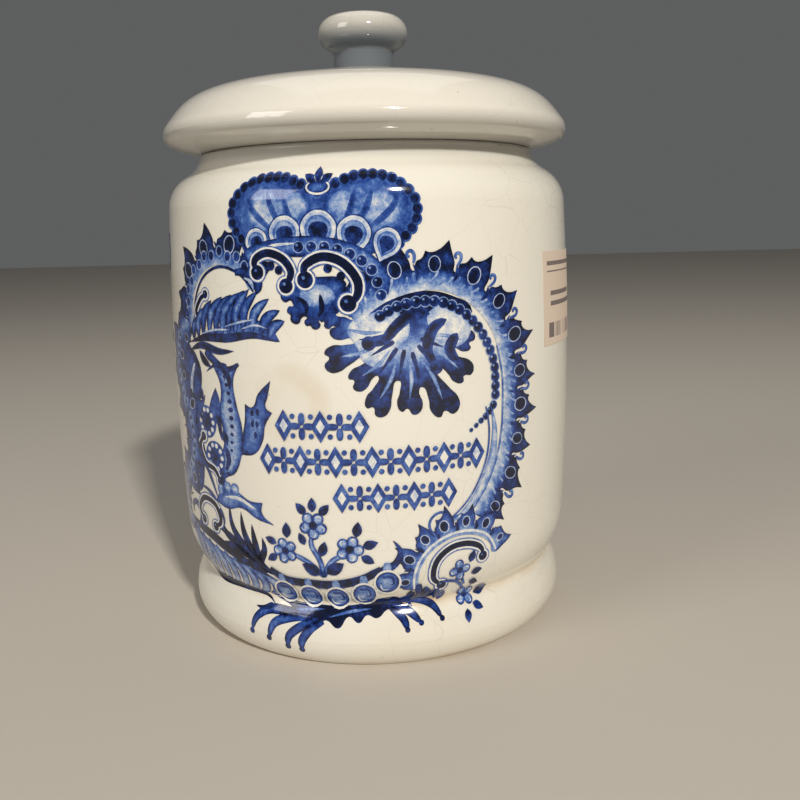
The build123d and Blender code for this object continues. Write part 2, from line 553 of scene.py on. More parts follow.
def makeGlaze(name, colour):
    material, tree, shader, coordinates = newFinish(name)
    makeGlossy(tree, shader, coordinates)

    def noise(scale, detail=2.0):
        return noiseNode(tree, coordinates, scale, detail).outputs["Fac"]

    base = mixColour(
        tree, product(tree, noise(glazeLook["cloudScale"], 3.0), glazeLook["cloudShare"]),
        colour, glazeLook["warm"],
    )
    # crazing: a net of hairlines, bent a little by noise, that comes and goes
    bend = glazeLook["crazeBend"]
    bent = addNode(tree, "ShaderNodeVectorMath", operation="MULTIPLY_ADD")
    tree.links.new(noiseNode(tree, coordinates, 30.0).outputs["Color"], bent.inputs[0])
    bent.inputs[1].default_value = (bend, bend, bend)
    tree.links.new(coordinates, bent.inputs[2])
    net = addNode(
        tree, "ShaderNodeTexVoronoi", feature="DISTANCE_TO_EDGE", Scale=glazeLook["crazeScale"],
    )
    tree.links.new(bent.outputs["Vector"], net.inputs["Vector"])
    line = rampNode(tree, net.outputs["Distance"], [(0.0, 1), (glazeLook["crazeWidth"], 0)])
    fade = rampNode(tree, noise(glazeLook["crazePatches"]), [(0.42, 0), (0.60, 1)])
    base = mixColour(tree, product(tree, line, fade, glazeLook["crazeShare"]), base, glazeLook["craze"])
    # stains, and painted shade under the lid's edge and round the knob's stem, by height
    split = addNode(tree, "ShaderNodeSeparateXYZ")
    tree.links.new(coordinates, split.inputs[0])
    height = addNode(tree, "ShaderNodeMapRange")
    tree.links.new(split.outputs["Z"], height.inputs["Value"])
    height.inputs["From Max"].default_value = glazeLook["heightTop"] * mm

    def byHeight(marks):
        return rampNode(tree, height.outputs["Result"], [(z / glazeLook["heightTop"], v) for z, v in marks])

    stained = byHeight(glazeLook["stainHeights"])
    blot = rampNode(tree, noise(glazeLook["stainScale"], 3.0), [(0.40, 0.1), (0.66, 1)])
    base = mixColour(tree, product(tree, stained, blot, glazeLook["stainShare"]), base, glazeLook["stain"])
    radius, turn = wallPoint(glazeLook["blotHeight"])[0], glazeLook["blotTurn"]
    middle = Vector((radius * math.sin(turn), -radius * math.cos(turn), glazeLook["blotHeight"])) * mm
    reach = addNode(tree, "ShaderNodeVectorMath", operation="DISTANCE")
    tree.links.new(bent.outputs["Vector"], reach.inputs[0])
    reach.inputs[1].default_value = middle + Vector((bend, bend, bend)) / 2
    ring = rampNode(tree, reach.outputs["Value"], glazeLook["blotRing"])
    base = mixColour(tree, product(tree, ring, blot, glazeLook["blotShare"]), base, glazeLook["stain"])
    # painted shade by height, darker grey-blue where the lid's edge and the knob would shade the glaze
    base = mixColour(tree, byHeight(glazeLook["paintedShadeHeights"]), base, glazeLook["paintedShadeColour"])
    specks = rampNode(tree, noise(glazeLook["speckScale"], 1.0), [(0.80, 0), (0.84, 1)])
    base = mixColour(tree, product(tree, specks, glazeLook["speckShare"]), base, glazeLook["speck"])
    tree.links.new(base, shader.inputs["Base Color"])
    return material


cobaltLook = {
    "poolScale": 300.0,
    "poolShare": 0.95,
    "grainScale": 1600.0,
    "grainShare": 0.30,
    "tones": [  # from bare glaze to the darkest blue
        (0.0, rgb(240, 237, 228)),
        (0.16, rgb(198, 207, 221)),
        (0.36, rgb(130, 158, 206)),
        (0.54, rgb(68, 104, 176)),
        (0.72, rgb(36, 68, 144)),
        (0.88, rgb(20, 40, 96)),
        (1.0, rgb(10, 19, 46)),
    ],
}


def makeCobalt():
    material, tree, shader, coordinates = newFinish("cobaltPainting")
    makeGlossy(tree, shader, coordinates)
    shade = addNode(tree, "ShaderNodeAttribute", attribute_name="tone").outputs["Fac"]
    pools = noiseNode(tree, coordinates, cobaltLook["poolScale"], 4.0, 0.62)
    grain = noiseNode(tree, coordinates, cobaltLook["grainScale"])
    for noise, share in ((pools, cobaltLook["poolShare"]), (grain, cobaltLook["grainShare"])):
        centred = mathNode(tree, "SUBTRACT", noise.outputs["Fac"], 0.5)
        shade = mathNode(tree, "MULTIPLY_ADD", centred, share, shade)
    tree.links.new(rampNode(tree, shade, cobaltLook["tones"]), shader.inputs["Base Color"])
    return material


labelLook = {
    "paper": rgb(232, 214, 196),
    "cloud": rgb(222, 196, 172),
    "fibre": rgb(170, 150, 132),
    "ink": rgb(92, 84, 88),
    "cloudShare": 0.35,
    "fibreShare": 0.12,
    "inkShare": 0.85,
    "fibreScale": 900.0,
    "roughness": 0.62,
    "bumpStrength": 0.12,
    "bumpDepth": 0.0002,
    "radius": 81.8,
    "edge": 51.5,  # degrees from the front to the label's left edge
    "width": 57.0,
    "middle": 131.5,
    "height": 35.0,
    "marks": [  # left, right, bottom, top, as shares of the face: a thin rule and three short bars
        (0.05, 0.95, 0.78, 0.795),
        (0.05, 0.62, 0.85, 0.895),
        (0.10, 0.56, 0.53, 0.58),
        (0.10, 0.80, 0.42, 0.47),
    ],
    "barBlock": (0.07, 0.93, 0.08, 0.24),
    "barCount": 70.0,
    "barChance": 0.48,
}


def makePaper():
    # the face's own two coordinates come from the angle round the jar and the height
    material, tree, shader, coordinates = newFinish("labelPaper")
    split = tree.nodes.new("ShaderNodeSeparateXYZ")
    tree.links.new(coordinates, split.inputs[0])
    angle = mathNode(tree, "ARCTAN2", split.outputs["X"], product(tree, split.outputs["Y"], -1.0))
    turned = mathNode(tree, "SUBTRACT", angle, math.radians(labelLook["edge"]))
    across = mathNode(tree, "DIVIDE", turned, labelLook["width"] / labelLook["radius"])
    low = (labelLook["middle"] - labelLook["height"] / 2) * mm
    raised = mathNode(tree, "SUBTRACT", split.outputs["Z"], low)
    up = mathNode(tree, "DIVIDE", raised, labelLook["height"] * mm)

    def box(left, right, bottom, top):
        sides = []
        for value, start, end in ((across, left, right), (up, bottom, top)):
            sides.append(mathNode(tree, "GREATER_THAN", value, start))
            sides.append(mathNode(tree, "LESS_THAN", value, end))
        return product(tree, *sides)

    marks = 0.0
    for sides in labelLook["marks"]:
        marks = mathNode(tree, "MAXIMUM", box(*sides), marks)
    # a block of upright bars of uneven width, from a stepped noise along the label
    steps = mathNode(tree, "FLOOR", product(tree, across, labelLook["barCount"]))
    chance = addNode(tree, "ShaderNodeTexWhiteNoise", noise_dimensions="1D")
    tree.links.new(steps, chance.inputs["W"])
    bars = mathNode(tree, "GREATER_THAN", chance.outputs["Value"], labelLook["barChance"])
    marks = mathNode(tree, "MAXIMUM", product(tree, bars, box(*labelLook["barBlock"])), marks)
    fibre = noiseNode(tree, coordinates, labelLook["fibreScale"], 3.0).outputs["Fac"]
    cloud = noiseNode(tree, coordinates, 60.0).outputs["Fac"]
    clouded = product(tree, cloud, labelLook["cloudShare"])
    face = mixColour(tree, clouded, labelLook["paper"], labelLook["cloud"])
    face = mixColour(tree, product(tree, fibre, labelLook["fibreShare"]), face, labelLook["fibre"])
    face = mixColour(tree, product(tree, marks, labelLook["inkShare"]), face, labelLook["ink"])
    tree.links.new(face, shader.inputs["Base Color"])
    shader.inputs["Roughness"].default_value = labelLook["roughness"]
    addBump(tree, shader, fibre, labelLook["bumpStrength"], labelLook["bumpDepth"])
    return material


def dress(node, material):
    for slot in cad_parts[node].material_slots:
        slot.material = material


dress("jar_body", makeGlaze("jarGlaze", glazeLook["jar"]))
lidGlaze = makeGlaze("lidGlaze", glazeLook["lid"])
cobalt = makeCobalt()
dress("lid", lidGlaze)
dress("lid_knob", lidGlaze)
dress("price_label", makePaper())
print("finishes mixed")


sharp = True  # the third value of an outline's point, where it has a corner

hookShape = [(0, 0), (0.5, 1.4), (0.55, 2.9), (-0.3, 3.9), (-1.4, 3.5), (-1.6, 2.5), (-0.8, 2.2)]
leafShape = [(0, 0, sharp), (0.27, 0.3), (0.25, 0.65), (0, 1, sharp), (-0.25, 0.62), (-0.27, 0.3)]


def leaves(spots):  # spots: u, z, angle, length
    fills([placed(leafShape, s[:2], s[2], s[3]) for s in spots], (0.8, 0.98), 0.7)


waveShape = [  # one flame of a crest: share of its stretch, share of its height
    (0.02, 0.14), (0.10, 0.52), (0.22, 0.66), (0.31, 0.98, sharp), (0.41, 0.90), (0.56, 1.04),
    (0.72, 1.55, sharp), (0.82, 1.10), (0.94, 0.62),
]
cutShape = [(0.0, 0.45), (0.1, 0.1), (0.05, -0.35)]  # the dark line between two flames


def crest(route, count, base, height, tones, eye, hooks=False, lean=0.0):
    # a run of overlapping flames down the left of a route, drawn with its body as one shape
    fine = along(route, 400)

    def at(share):
        return fine[min(max(round(share * (len(fine) - 1)), 0), len(fine) - 1)]

    def off(share, out):
        spot, way = at(share)
        return spot + leftOf(way) * out + way * lean * out

    outer, cuts, rings = [], [], []
    for i in range(count):
        size = height * (0.78 + 0.22 * math.sin(math.pi * (i + 0.7) / count)) * (1.06 if i % 2 else 0.94)
        for share, out, *kind in waveShape:
            spot = off((i + share) / count, base + out * size)
            outer.append((spot.x, spot.y, *kind))
        if i:
            cuts.append([off((i + shift) / count, base + out * size) for shift, out in cutShape])
        middle = off((i + 0.52) / count, base + 0.36 * size)
        rings.append((middle.x, middle.y, size / height, turnOf(at((i + 0.52) / count)[1])))
    inner = [tuple(off(share / (2.0 * count), 0.0)) for share in range(2 * count, -1, -1)]
    fills([outer + inner], (tones[2], tones[1]), 0.8, (route, tones[0], tones[1], base + height * 0.14))
    strokes(cuts, 1.5, (0.8, 1.05), "leaf", 0.8, 5)
    if eye:
        dots(rings, eye + 0.34, (0.22, 0.24), stretch=1.25)
        dots(rings, eye, (0.88, 1.1), stretch=1.28)
    if hooks:
        curls = []
        for i in range(count):
            root = off((i + 0.04) / count, base + 0.42 * height)
            curls.append(placed(hookShape, root, turnOf(at((i + 0.12) / count)[1]), height / 7.5))
        strokes(curls, 1.15, (0.66, 0.45), "line", 0.5, 13)


def lobed(centre, clubs, inset=0.55):  # a leaf's outline from round clubs: angle, length, spread
    outline = []
    for angle, length, spread in clubs:
        marks = [(-0.5, inset), (-0.38, 0.72), (-0.42, 0.86), (-0.24, 0.96), (-0.08, 0.92)]
        marks += [(0.08, 1.0), (0.30, 0.98), (0.42, 0.88), (0.38, 0.73)]
        for turn, share in marks:
            outline.append(outFrom(centre, math.radians(angle + turn * spread), share * length))
    return outline


def beadRow(route, count, radius, taper=1.0):
    spots = enumerate(along(route, count))
    row = [(spot.x, spot.y, 1 + (taper - 1) * i / (count - 1)) for i, (spot, way) in spots]
    dots(row, radius * 1.16, (0.34, 0.3))
    dots(row, radius, (0.8, 0.98), 0.5)
    glints = [(u - radius * 0.35, z + radius * 0.4, share) for u, z, share in row]
    dots(glints, radius * 0.24, (0.4, 0.45))


def paintCrest():
    # a shell-like canopy: two swelling lobes with a beaded rim, over a row of fans
    rim = [
        (-44, 154), (-50, 161), (-49.5, 169), (-42, 175), (-31, 176), (-22, 173), (-17, 171),
        (-12, 173), (-3, 176), (8, 175), (15.5, 169), (16, 161), (10, 154),
    ]
    fills([rim + [(0, 150.5), (-17, 150), (-34, 151)]], (0.9, 0.5), 3.0)
    fills([
        [(-38, 159), (-43, 163), (-41, 169), (-34, 171), (-31, 165), (-33, 160)],
        [(-27, 163), (-29, 168), (-24, 171), (-21, 167), (-23, 163)],
        [(-10, 163), (-13, 168), (-7, 171), (-4, 166)],
        [(2, 160), (-1, 166), (3, 171), (9, 169), (11, 164), (7, 160)],
    ], (0.5, 0.22), 1.8)
    for u in (-45, -36, -30, -20, -14, -4, 2, 12):
        rib = [(-17 + (u + 17) * 0.5, 157), (-17 + (u + 17) * 0.85, 165), (u, 173.5)]
        strokes([rib], 2.4, (0.6, 0.8), soft=1.0)
    bead = [tuple(spot) for spot, way in along(rim, 33)]
    dots(bead, 2.15, (0.62, 0.8), 0.6)
    dots(bead, 1.5, (0.95, 1.05), 0.6)
    # the bud on top
    dots([(-17, 172.6)], 4.3, (0.1, 0.05), stretch=0.6)
    dots([(-17, 172.6)], 3.7, (0.95, 0.5), stretch=0.52)
    leaves([(-17, 174, 0, 5.4), (-17.8, 174.2, 58, 5), (-16.2, 174.2, -58, 5)])
    # the fans along its foot
    fan = [(0, -6.5, sharp), (-4.6, 0.3), (-3.0, 3.8), (0, 5.0), (3.0, 3.8), (4.6, 0.3)]
    drop = [(0, -4.5, sharp), (-2.8, 0.9), (0, 2.6), (2.8, 0.9)]
    for u, z, size, lean in (
        (-40, 155, 0.85, 20), (-29, 157.5, 1.1, 9), (-17, 158.5, 1.2, 0), (-5, 157, 1.1, -10),
        (6, 154, 0.9, -24),
    ):
        for shape, scale, tones in (
            (fan, 1.22, (0.8, 0.6)), (fan, 1.12, (0.1, 0.24)), (fan, 0.86, (0.55, 0.3)),
            (drop, 1.0, (0.75, 1.0)),
        ):
            fills([placed(shape, (u, z), lean, size * scale)], tones, 0.9)
    band = [(-45, 150.5), (-33, 153), (-17, 153.5), (-4, 150), (3, 143.5), (4, 137)]
    strokes([band], 6.6, (0.95, 0.42), "line", 1.1, 15)
    strokes([[(-42, 151.6), (-33, 154), (-24, 154.6)]], 1.0, (0.05, 0.05))
    beadRow([(-24, 153.3), (-14, 153), (-5, 150), (1, 145), (3.6, 137)], 9, 1.75)


def scrollArm(route, width, bulb=0.86):  # a thick dark scroll, reserved in white, with bulb ends
    ends = [route[0], route[-1]]
    for more, tones in ((1.1, (0.55, 0.5)), (0.65, (0.0, 0.0)), (0.0, (0.92, 1.1))):
        strokes([route], width + 2 * more, tones, "round", 0.6, 17)
        dots(ends, width * bulb + more, tones)
    dots([(u - width * 0.2, z + width * 0.25) for u, z in ends], width * 0.2, (0.5, 0.45))


def paintScrolls():
    clubs = [(172, 13, 42), (216, 12.5, 42), (258, 11, 42), (300, 12, 42), (344, 12.5, 42)]
    ring = lobed((-18, 137), clubs, 0.72) + [(-8, 141.5), (-17, 143.5), (-26, 142)]
    fills([ring], (0.95, 0.66), 1.5)
    fills([[(-24, 138), (-20, 140.5), (-14, 140), (-12, 136), (-17, 134), (-22, 134)]], (0.5, 0.2), 1.3)
    strokes([
        [(-25, 137), (-22, 134), (-22, 130.5)], [(-17, 138), (-16.5, 133), (-18, 130)],
        [(-10, 137), (-10.5, 134), (-9, 131)],
    ], 2.0, (0.9, 1.1))
    scrollArm([(-40, 145), (-41, 149), (-36, 151.5), (-30, 149.5), (-27, 145), (-29, 140.5)], 2.7, 0.95)
    scrollArm([
        (-22, 142.5), (-22, 147), (-16, 150), (-9, 148), (-4.2, 142), (-4.6, 136.5), (-7.5, 134.5),
    ], 3.0, 0.95)
    dots([(-34.5, 147.2), (-31.5, 145.8), (-14, 146.2), (-9.6, 143.6)], 1.5, (0.9, 1.1))


def paintLeftArch():
    spine = [(-43, 139), (-49, 145), (-59, 147.5), (-69, 143.5), (-75, 135), (-76, 126)]
    outward = spine[::-1]
    crest(outward, 5, 5.0, 7.4, (0.25, 0.86, 1.05), 2.3, lean=0.1)
    scales = []
    for i, (spot, way) in enumerate(along(outward, 15)[1:-1]):
        scales.append(tuple(spot + leftOf(way) * (4.8 - 1.2 * (i % 2))))
    dots(scales, 1.7, (0.3, 0.35), stretch=1.2)
    dots(scales, 1.4, (0.75, 0.9), stretch=1.2)
    strokes([[(p[0] * 0.985 + 0.4, p[1] - 0.6) for p in outward]], 1.1, (0.9, 0.9), "line", knots=13)
    scrollArm([(-70, 127.5), (-73, 130.5), (-70, 135), (-66.5, 137)], 1.8)
    strokes([
        [(-50, 145), (-44, 145), (-40, 141.5), (-41, 137.5)], [(-79, 129), (-83, 131), (-84, 137)],
    ], 4.0, (0.95, 0.75), "comma")
    strokes([[(-46, 143), (-43, 142), (-42, 139)]], 1.0, (0.2, 0.2))


def feather(spine, count, reach, sweep, width, tones):
    barbs = []
    for i, (spot, way) in enumerate(along(spine, count + 2)[1:-1]):
        share = math.sin(math.pi * (i + 1.6) / (count + 2.2)) ** 0.7
        tip = spot + (way * sweep + leftOf(way)) * reach * share
        middle = spot + (way * sweep * 0.25 + leftOf(way) * 0.62) * reach * share
        barbs.append([spot, middle, tip])
    strokes(barbs[::2], width, tones, "leaf", 0.7)
    strokes(barbs[1::2], width, (tones[0], tones[1] * 0.7), "leaf", 0.7)


def paintPlume():
    vane = [
        (-79, 119, sharp), (-68, 123), (-55, 127), (-44, 129), (-36, 127), (-32, 121.5, sharp),
        (-42, 122.5), (-56, 120.5), (-70, 120),
    ]
    fills([vane], (0.8, 0.5), 2.0)
    spine = [(-79, 119), (-67, 121.5), (-55, 122), (-43, 123.5), (-33, 121.5)]
    feather(spine, 12, 16.0, 0.62, 4.0, (1.0, 0.55))
    strokes([spine], 3.2, (0.95, 0.9), knots=11)
    fine = [
        [(-70, 122.6), (-62, 124.5), (-54, 125)], [(-56, 126), (-48, 128), (-42, 129)],
        [(-48, 125.5), (-42, 127), (-37, 126)],
    ]
    strokes(fine, 0.8, (0.25, 0.2))
    low = [
        [(-79, 116), (-70, 118.5), (-60, 117), (-52, 117.5)], [(-77, 116), (-75, 112), (-72, 110)],
        [(-72, 116.5), (-69, 113), (-65, 111)],
    ]
    strokes(low, 3.0, (0.85, 1.0))
    strokes([[(-68, 116.5), (-62, 113), (-56, 111), (-51, 113)]], 4.0, (0.95, 0.7), "tail")


def paintColumn():
    # a tall acanthus scroll that climbs the left side and goes on round it
    stem = [
        (-80, 127), (-90, 121), (-95, 110), (-90, 98), (-83, 88), (-83, 76), (-91, 67), (-99, 60),
        (-99, 50), (-91, 46),
    ]
    shade = [
        (-88, 122), (-79, 117), (-72, 110), (-73, 100), (-76, 91), (-74, 82), (-75, 70), (-80, 61),
        (-92, 64), (-90, 80), (-93, 100),
    ]
    fills([shade], (0.9, 0.72), 2.5)
    folds = [
        [(-76, 112), (-80, 104), (-80, 96)], [(-78, 98), (-81, 90), (-79, 82)],
        [(-77, 82), (-81, 75), (-80, 67)],
    ]
    strokes(folds, 2.2, (0.2, 0.15), "leaf", 0.8)
    strokes([stem], 13.0, (0.82, 0.45), "leaf", 2.2, 21)
    strokes([[(p[0] + 1.5, p[1]) for p in stem]], 3.0, (0.2, 0.1), "leaf", 1.2, 21)
    crest(stem, 8, 3.0, 6.5, (0.2, 0.75, 0.98), 1.6, lean=-0.2)
    crest(stem[::-1], 9, 2.4, 6.0, (0.2, 0.75, 0.98), 0)
    beadRow(stem[1:-1], 24, 1.2, 0.8)
    curl = [(-91, 46), (-85, 46), (-82, 51), (-86, 55), (-91, 53), (-90, 50)]
    strokes([curl], 2.6, (0.85, 0.7), "comma", knots=13)
    # a rosette beyond the silhouette
    petal = [(0, 1.5), (2.6, 5), (0, 8), (-2.6, 5)]
    for angle in range(0, 360, 45):
        fills([placed(petal, (-113, 152), angle, 1.15)], (0.85, 0.35), 1.4)
    dots([(-113, 152)], 2.8, (0.7, 1.0))
    twig = [[(-113, 142), (-116, 130), (-110, 118), (-103, 110)], [(-115, 128), (-122, 124), (-125, 117)]]
    strokes(twig, 1.5, (0.8, 0.7), "line", knots=13)
    leaves([
        (-115, 136, 60, 8), (-115, 131, -50, 8), (-112, 122, 70, 8), (-109, 116, -40, 7),
        (-125, 117, 160, 7), (-120, 125, 80, 6),
    ])


def paintFlameLeaves():
    husk = [
        (-64, 112, sharp), (-57, 111), (-50, 113, sharp), (-53, 107), (-52, 98), (-50, 90),
        (-51, 80), (-58, 71), (-64, 74), (-60, 83), (-61, 95), (-60, 105),
    ]
    fills([husk], (0.9, 0.25), 1.5)
    strokes([
        [(-60, 112), (-55.5, 108), (-55, 103)], [(-61, 84), (-62, 92), (-60, 99)],
    ], 2.6, (0.85, 0.95))
    beads = along([(-57.5, 108), (-55.5, 100), (-55, 90), (-56, 81)], 10)
    row = [(spot.x, spot.y, 1 - abs(i - 4) * 0.08) for i, (spot, way) in enumerate(beads)]
    dots(row, 1.25, (0.8, 0.95), stretch=0.8)
    right = [
        (-51, 80, sharp), (-45, 81), (-41, 86), (-39.5, 92), (-36.5, 96.5, sharp), (-39, 98.5),
        (-38, 102), (-36.5, 108, sharp), (-42, 103), (-45, 98), (-48, 99, sharp),
        (-48.5, 93), (-50, 87),
    ]
    fills([right], (0.95, 0.45), 1.3)
    dots([(-44, 88), (-43, 92), (-42.5, 96.5), (-45, 92), (-45, 96)], 0.8, (0.85, 0.95), stretch=1.6)
    left = [(-66, 88, sharp), (-62, 92), (-61, 99), (-63, 103.5, sharp), (-67, 97), (-68, 92)]
    fills([left], (0.86, 0.55), 1.2)
    strokes([
        [(-58, 72), (-63, 70.5), (-67, 74), (-66, 79)], [(-60, 73), (-58, 77), (-59, 82)],
    ], 2.6, (0.88, 0.75), "comma")
    strokes([
        [(-50, 113), (-55, 110), (-58, 106)], [(-56, 112), (-62, 112), (-68, 109)],
    ], 2.0, (0.9, 0.8), "tail")


def paintPearls():
    for u, z in ((-70, 90), (-66, 77)):
        turns = [i * math.pi / 5 for i in range(10)]
        ring = [(u + 4.2 * math.cos(turn), z + 4.6 * math.sin(turn)) for turn in turns]
        dots([(u, z)], 6.2, (0.7, 0.85))
        dots(ring, 1.25, (0.55, 0.6))
        dots(ring, 0.85, (0.0, 0.0))
        dots([(u, z)], 2.2, (0.85, 1.0))
    scrollArm([(-64, 68), (-67, 72), (-73, 74), (-76, 80), (-73, 84)], 2.0)
    strokes([
        [(-76, 96), (-79, 88), (-77, 78), (-71, 70), (-66, 60)], [(-70, 100), (-73, 95), (-74, 90)],
    ], 2.2, (0.85, 0.7), knots=11)
    leaves([(-62, 71, 170, 6), (-60, 88, 200, 6), (-72, 98, 20, 6)])


def paintBranch():
    horn = [
        (-68, 60, sharp), (-63, 65), (-55, 65.5), (-49, 63), (-43, 63, sharp), (-43.5, 59),
        (-38.5, 55, sharp), (-46, 56.5), (-53, 59.5), (-61, 58),
    ]
    fills([horn], (0.85, 0.4), 1.6)
    strokes([[(-62, 62.5), (-54, 63), (-46, 60)]], 1.4, (0.12, 0.1))
    dots([(-64, 65), (-60, 66.5), (-56, 66.5)], 2.1, (0.62, 0.15), 0.6)
    scrollArm([(-70, 49), (-66, 52), (-69, 58), (-77, 59), (-82, 54), (-79, 50)], 2.2)
    strokes([
        [(-68, 60), (-73, 63), (-80, 64)], [(-66, 57), (-64, 53), (-65, 49)],
    ], 2.0, (0.85, 0.7), "tail")


def paintAcanthus():
    # a hanging leaf with a pale heart and round dark lobes
    heart = (12, 124)
    clubs = [
        (174, 26, 24), (198, 30, 24), (222, 26, 24), (246, 30, 24), (271, 28, 25), (297, 33, 26),
        (324, 28, 26), (350, 25, 24),
    ]
    ring = lobed(heart, clubs, 0.58) + [(36, 130), (28, 136), (16, 138), (4, 136), (-8, 131)]
    fills([ring], (1.0, 0.8), 1.0, ([(-4, 124), (4, 120), (14, 118), (24, 121)], 0.2, 0.92, 12.0))
    pale = [
        [(-8, 126), (0, 131), (9, 131), (13, 126), (9, 119), (3, 113), (-3, 115), (-5, 120)],
        [(20, 131), (29, 132), (35, 127), (33, 120), (26, 119), (20, 125)],
    ]
    fills(pale, (0.32, 0.1), 1.2)
    veins = []
    for angle, length, spread in clubs:
        way = Vector(outFrom((0, 0), math.radians(angle), 1))
        begin = Vector(heart) + way * length * 0.3
        veins.append([begin, begin + way * length * 0.24 + leftOf(way) * 0.9, begin + way * length * 0.5])
    strokes(veins, 1.3, (0.45, 0.25), "leaf", 0.6)
    valleys = []
    for (first, reach, spread), (second, length, spread) in zip(clubs, clubs[1:]):
        turn = math.radians((first + second) / 2)
        valleys.append([outFrom(heart, turn, share * length) for share in (0.2, 0.38, 0.56)])
    strokes(valleys, 2.0, (0.8, 0.98), "tail", 0.8)
    folds = [
        [(-1, 121), (4, 122), (9, 127), (15, 131), (20, 130)],
        [(22, 112), (19, 118), (21, 125), (26, 128)], [(30, 113), (27, 118), (30, 123)],
    ]
    strokes(folds, 4.2, (0.75, 0.98), "comma", 1.0, 13)
    dots([folds[0][0], folds[1][0]], 2.5, (0.75, 0.98))


def paintGreatScroll():
    body = [
        (-4, 128), (3, 133.5), (12, 137), (23, 138), (34, 133.5), (43, 124.5), (48, 112), (49, 98),
        (48, 84), (44, 71), (36, 59),
    ]
    crest(body, 11, 6.0, 8.2, (0.04, 0.86, 1.05), 2.25, True)
    mottle = []
    for i, (spot, way) in enumerate(along(body, 56)[2:-1]):
        away = leftOf(way)
        start = spot + away * (4.6 + (i % 3) * 0.9)
        mottle.append([start, start - away * 1.8 - way * 0.8, start - away * 3.4 - way * 2.2])
    strokes(mottle[::2], 1.3, (0.46, 0.5), "tail", 0.5, 5)
    strokes(mottle[1::2], 1.1, (0.3, 0.34), "tail", 0.5, 5)
    rim = [spot - leftOf(way) * 0.2 for spot, way in along(body, 13)[6:]]
    strokes([rim], 0.9, (0.5, 0.5), "line", 0.5, 21)
    beadRow([
        (3, 130), (9, 133), (18, 134.5), (27, 133), (35, 128), (41, 120.5), (45, 111), (45.5, 100),
    ], 21, 1.8)
    beadRow([(44.5, 96.5), (42, 93.5), (38.5, 91), (35, 88.5)], 6, 1.5, 0.5)


def paintThinScroll():
    outer = [(43.5, 96), (45, 87), (43.5, 76), (38, 65), (31, 58), (26, 55.5)]
    inner = [(p[0] - 2.4, p[1] + 0.4) for p in outer]
    strokes([outer], 3.4, (0.45, 0.12), "leaf", 0.8, 15)
    strokes([inner], 0.8, (0.62, 0.5), "line", 0.8, 15)
    curl = [(31, 58.5), (26, 57), (23.5, 60), (19.5, 58), (19, 54), (22, 51.5), (28, 53), (33, 57)]
    strokes([curl], 1.0, (0.62, 0.5), "line", 0.8, 17)


def paintShell():
    body = [(15, 31), (15, 38), (19, 45), (27, 49.5), (36, 49.5), (43, 45.5), (45, 41)]
    crest(body, 7, 3.2, 6.0, (0.3, 0.55, 0.95), 1.5)
    stem = [spot + leftOf(way) * 1.6 for spot, way in along(body, 9)]
    strokes([stem], 1.0, (0.08, 0.08), "line", 0.5, 13)
    scrollArm([(24, 31.5), (20.5, 35), (21.5, 41.5), (27, 46), (34, 46.5), (39.5, 44), (40.5, 40.5)], 2.2)
    strokes([
        [(15, 33), (16, 28), (21, 27)], [(13, 30), (11, 26), (13, 23)],
        [(17, 31), (20, 28.5), (24, 30)],
    ], 3.4, (0.9, 0.8), "tail")


def flower(u, z, size, petals, turn=0):
    petal = [(0, 0.6), (2.3, 2.6), (1.9, 5.2), (0, 6.0), (-1.9, 5.2), (-2.3, 2.6)]
    gleam = [(-1.1, 3.2), (-0.2, 4.9), (1.0, 4.6)]
    for i in range(petals):
        angle = turn + i * 360 / petals
        fills([placed(petal, (u, z), angle, size)], (0.85, 0.22), 0.6)
        strokes([placed(gleam, (u, z), angle, size)], 0.7 * size, (0.1, 0.08), knots=5)
    dots([(u, z)], 1.9 * size, (0.8, 1.05))


def paintFlowers():
    stems = [
        [(-20, 37), (-21, 43), (-24, 49), (-23.5, 53)], [(-20, 37), (-17, 43), (-12, 46)],
        [(-20, 37), (-25, 42), (-31, 45)],
    ]
    strokes(stems, 2.0, (0.8, 0.3), "line", 0.45, 11)
    flower(-23, 56.5, 0.88, 5, 36)
    flower(-34.5, 46, 0.82, 5, 20)
    flower(-10, 48, 0.86, 5, 50)
    leaves([
        (-23, 61.5, 0, 5.5), (-25.5, 60.5, 42, 5.5), (-20.5, 60.5, -42, 5.5), (-33.5, 51, 0, 6),
        (-38, 48.5, 70, 5), (-38, 44, 120, 5), (-7.5, 52.5, -8, 6), (-5.5, 49, -75, 6),
        (-6, 45.5, -120, 5.5), (-26.5, 49, 25, 5), (-20.5, 45, -15, 6), (-21, 38, 62, 8),
        (-19, 38.5, -58, 8),
    ])


def paintGarland():
    swag = [(-42, 38), (-36, 34.5), (-26, 33.8), (-16, 34), (-6, 36.5), (1, 40.5)]
    strokes([swag], 3.6, (0.85, 1.0), "line", 0.9, 15)
    strokes([[(1, 40), (6, 42), (8, 47), (5.5, 51)]], 3.6, (0.9, 0.8), "tail")
    drops = [(-37.5, 28.5), (-26.8, 27.8), (-16, 27.8), (-5.5, 29.8), (3.2, 34.8)]
    strokes([[(u, z + 8), (u, z + 5), (u, z + 2.5)] for u, z in drops], 3.0, (0.45, 0.3), "line", knots=5)
    dots(drops, 5.2, (0.0, 0.0))
    dots(drops, 4.4, (0.95, 0.34), 1.0)
    gleam = [(-2.6, -0.5), (-1.8, -2.8), (0.8, -3)]
    strokes([placed(gleam, drop, 0) for drop in drops], 0.8, (0.1, 0.1))
    coil = [(-1.8, 2.2), (1.6, 2.2), (2.2, -0.6), (0, -1)]
    strokes([placed(coil, drop, 0) for drop in drops], 1.5, (0.72, 0.8), "tail")


